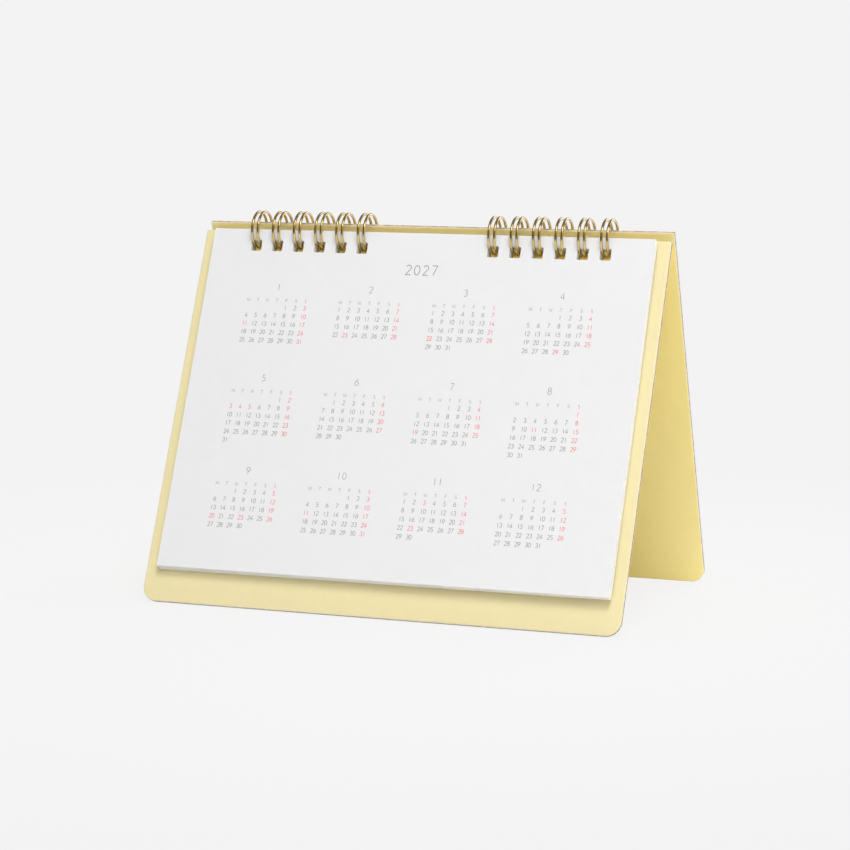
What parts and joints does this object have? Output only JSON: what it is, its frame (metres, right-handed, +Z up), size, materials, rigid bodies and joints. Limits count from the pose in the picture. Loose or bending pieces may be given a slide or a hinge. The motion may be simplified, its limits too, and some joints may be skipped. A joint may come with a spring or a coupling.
{
  "type": "desk calendar",
  "caption": "Standing desk calendar: two covered boards form a tent, with a year sheet and month sheets hung on twin-loop wires along the top.",
  "frame": {"origin": "on the surface that the standing calendar rests on, in the middle of its box", "axes": "+X along the rings, to the right as seen by the reader; +Y from the leaves to the back board; +Z up"},
  "size_m": [0.181, 0.113, 0.1395],
  "materials": {
    "yellow_paper": "matt lining paper, dyed pale yellow",
    "chipboard": "cut edge of grey-brown bookbinder's board",
    "white_paper": "uncoated offset paper",
    "antique_brass_wire": "antique gold twin-loop wire"
  },
  "bodies": {
    "front_board": {"front_board_core": "chipboard", "front_board_face_paper": "yellow_paper", "front_board_rear_paper": "yellow_paper"},
    "back_board": {"back_board_core": "chipboard", "back_board_inner_paper": "yellow_paper", "back_board_outer_paper": "yellow_paper"},
    "year_leaf": {"year_leaf": "white_paper"},
    "january_leaf": {"january_leaf": "white_paper"},
    "february_leaf": {"february_leaf": "white_paper"},
    "march_leaf": {"march_leaf": "white_paper"},
    "april_leaf": {"april_leaf": "white_paper"},
    "may_leaf": {"may_leaf": "white_paper"},
    "june_leaf": {"june_leaf": "white_paper"},
    "july_leaf": {"july_leaf": "white_paper"},
    "august_leaf": {"august_leaf": "white_paper"},
    "september_leaf": {"september_leaf": "white_paper"},
    "october_leaf": {"october_leaf": "white_paper"},
    "november_leaf": {"november_leaf": "white_paper"},
    "december_leaf": {"december_leaf": "white_paper"},
    "binding_wire_left": {"binding_wire_left": "antique_brass_wire"},
    "binding_wire_right": {"binding_wire_right": "antique_brass_wire"}
  },
  "joints": [
    {"name": "back_board_fold", "type": "hinge", "parent": "front_board", "child": "back_board", "pos_m": [0, 0.00161, 0.13224], "axis": [1, 0, 0], "range_deg": [-44.4, 10]},
    {"name": "year_leaf_turn", "type": "hinge", "parent": "january_leaf", "child": "year_leaf", "pos_m": [0, 0.00161, 0.13224], "axis": [-1, 0, 0], "range_deg": [0, 115]},
    {"name": "january_leaf_turn", "type": "hinge", "parent": "front_board", "child": "january_leaf", "pos_m": [0, 0.00161, 0.13224], "axis": [-1, 0, 0], "range_deg": [0, 24]},
    {"name": "february_leaf_turn", "type": "hinge", "parent": "front_board", "child": "february_leaf", "pos_m": [0, 0.00161, 0.13224], "axis": [-1, 0, 0], "range_deg": [0, 22.01]},
    {"name": "march_leaf_turn", "type": "hinge", "parent": "front_board", "child": "march_leaf", "pos_m": [0, 0.00161, 0.13224], "axis": [-1, 0, 0], "range_deg": [0, 20.01]},
    {"name": "april_leaf_turn", "type": "hinge", "parent": "front_board", "child": "april_leaf", "pos_m": [0, 0.00161, 0.13224], "axis": [-1, 0, 0], "range_deg": [0, 18.01]},
    {"name": "may_leaf_turn", "type": "hinge", "parent": "front_board", "child": "may_leaf", "pos_m": [0, 0.00161, 0.13224], "axis": [-1, 0, 0], "range_deg": [0, 16.01]},
    {"name": "june_leaf_turn", "type": "hinge", "parent": "front_board", "child": "june_leaf", "pos_m": [0, 0.00161, 0.13224], "axis": [-1, 0, 0], "range_deg": [0, 14.01]},
    {"name": "july_leaf_turn", "type": "hinge", "parent": "front_board", "child": "july_leaf", "pos_m": [0, 0.00161, 0.13224], "axis": [-1, 0, 0], "range_deg": [0, 12.01]},
    {"name": "august_leaf_turn", "type": "hinge", "parent": "front_board", "child": "august_leaf", "pos_m": [0, 0.00161, 0.13224], "axis": [-1, 0, 0], "range_deg": [0, 10.01]},
    {"name": "september_leaf_turn", "type": "hinge", "parent": "front_board", "child": "september_leaf", "pos_m": [0, 0.00161, 0.13224], "axis": [-1, 0, 0], "range_deg": [0, 8.01]},
    {"name": "october_leaf_turn", "type": "hinge", "parent": "front_board", "child": "october_leaf", "pos_m": [0, 0.00161, 0.13224], "axis": [-1, 0, 0], "range_deg": [0, 6.01]},
    {"name": "november_leaf_turn", "type": "hinge", "parent": "front_board", "child": "november_leaf", "pos_m": [0, 0.00161, 0.13224], "axis": [-1, 0, 0], "range_deg": [0, 4.01]},
    {"name": "december_leaf_turn", "type": "hinge", "parent": "front_board", "child": "december_leaf", "pos_m": [0, 0.00161, 0.13224], "axis": [-1, 0, 0], "range_deg": [0, 2.01]},
    {"name": "binding_wire_left_roll", "type": "hinge", "parent": "front_board", "child": "binding_wire_left", "pos_m": [0, 0.00161, 0.13224], "axis": [1, 0, 0], "range_deg": [-4, 4]},
    {"name": "binding_wire_right_roll", "type": "hinge", "parent": "front_board", "child": "binding_wire_right", "pos_m": [0, 0.00161, 0.13224], "axis": [1, 0, 0], "range_deg": [-4, 4]}
  ],
  "couplings": [
    {"joint": "february_leaf_turn", "follows": "january_leaf_turn", "ratio": 0.91667},
    {"joint": "march_leaf_turn", "follows": "january_leaf_turn", "ratio": 0.83333},
    {"joint": "april_leaf_turn", "follows": "january_leaf_turn", "ratio": 0.75},
    {"joint": "may_leaf_turn", "follows": "january_leaf_turn", "ratio": 0.66667},
    {"joint": "june_leaf_turn", "follows": "january_leaf_turn", "ratio": 0.58333},
    {"joint": "july_leaf_turn", "follows": "january_leaf_turn", "ratio": 0.5},
    {"joint": "august_leaf_turn", "follows": "january_leaf_turn", "ratio": 0.41667},
    {"joint": "september_leaf_turn", "follows": "january_leaf_turn", "ratio": 0.33333},
    {"joint": "october_leaf_turn", "follows": "january_leaf_turn", "ratio": 0.25},
    {"joint": "november_leaf_turn", "follows": "january_leaf_turn", "ratio": 0.16667},
    {"joint": "december_leaf_turn", "follows": "january_leaf_turn", "ratio": 0.083333}
  ]
}
